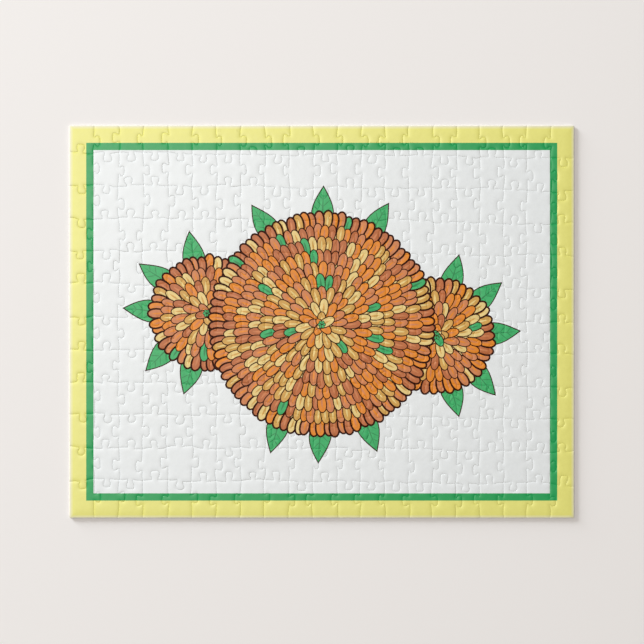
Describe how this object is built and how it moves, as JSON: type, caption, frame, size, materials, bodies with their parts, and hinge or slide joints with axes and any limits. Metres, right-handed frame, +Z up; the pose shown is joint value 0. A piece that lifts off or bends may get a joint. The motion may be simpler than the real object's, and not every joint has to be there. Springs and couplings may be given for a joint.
{
  "type": "jigsaw puzzle",
  "caption": "Finished cardboard jigsaw puzzle, lying flat and face up: die-cut pieces interlock into one rectangle, printed with flowers and leaves in a plain border.",
  "frame": {"origin": "centre of the flat face that lies on the table", "axes": "+X along the long side, +Y towards the side at the top of the print, +Z up, out of the printed face"},
  "size_m": [0.36, 0.28, 0.0019],
  "materials": {
    "printed_board": "satin coated paper on greyboard"
  },
  "bodies": {
    "root": {"row_01": "printed_board", "row_02": "printed_board", "row_03": "printed_board", "row_04": "printed_board", "row_05": "printed_board", "row_06": "printed_board", "row_07": "printed_board", "row_08": "printed_board", "row_09": "printed_board", "row_10": "printed_board", "row_11": "printed_board", "row_12": "printed_board"}
  },
  "joints": []
}
